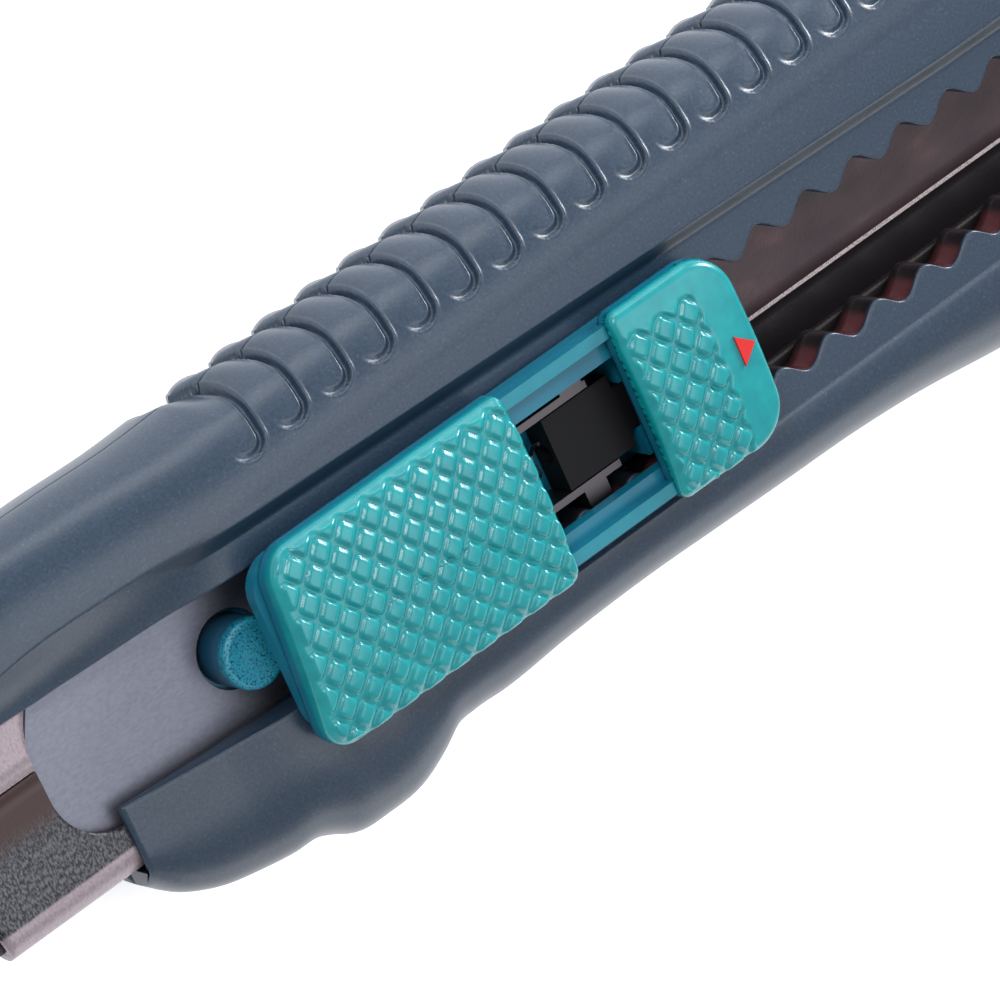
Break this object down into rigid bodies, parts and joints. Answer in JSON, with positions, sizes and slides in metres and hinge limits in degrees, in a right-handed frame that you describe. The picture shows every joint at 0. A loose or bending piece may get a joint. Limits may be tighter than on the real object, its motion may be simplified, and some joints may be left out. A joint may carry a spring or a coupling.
{
  "type": "utility knife",
  "caption": "Snap-off blade utility knife: two-part ribbed handle, steel blade channel, click slider with knurled pad and sliding lock button.",
  "frame": {"origin": "centre of the bounding box at the back face that the knife lies on, blade out", "axes": "+X from the blade's tip to the tail cap, +Y towards the ribbed spine, +Z towards the slider"},
  "size_m": [0.2258, 0.0342, 0.0164],
  "materials": {
    "slate_plastic": "satin moulded, slate blue-grey",
    "teal_plastic": "semi-gloss moulded, teal",
    "holder_plastic": "matte moulded, dark teal",
    "black_plastic": "matte moulded, black",
    "red_plastic": "smooth, red",
    "channel_steel": "folded sheet, brushed",
    "blade_steel": "ground, satin",
    "spring_steel": "bright",
    "screw_steel": "zinc plated"
  },
  "bodies": {
    "handle": {"front_shell": "slate_plastic", "back_shell": "slate_plastic", "shell_screws": "screw_steel", "blade_channel": "channel_steel", "channel_rivets": "screw_steel", "cap_catch": "spring_steel"},
    "slider": {"snap_blade": "blade_steel", "blade_holder": "holder_plastic", "pressure_spring": "spring_steel", "slider_base": "teal_plastic", "slider_screws": "screw_steel", "detent_springs": "spring_steel", "detent_pins": "screw_steel", "thumb_pad": "teal_plastic", "return_spring": "spring_steel", "spring_guide_rod": "screw_steel"},
    "lock": {"lock_button": "teal_plastic", "button_marker": "red_plastic", "lock_slide": "black_plastic"},
    "cap": {"tail_cap": "teal_plastic"}
  },
  "joints": [
    {"name": "slider_travel", "type": "slide", "parent": "handle", "child": "slider", "axis": [1, 0, 0], "range_m": [0, 0.063], "deforming": ["detent_springs"]},
    {"name": "lock_release", "type": "slide", "parent": "slider", "child": "lock", "axis": [-1, 0, 0], "range_m": [0, 0.008], "stiffness_N_per_m": 300, "springref_m": -0.002, "deforming": ["return_spring"]},
    {"name": "tail_cap_pull", "type": "slide", "parent": "handle", "child": "cap", "axis": [1, 0, 0], "range_m": [0, 0.02], "deforming": ["cap_catch"]}
  ]
}
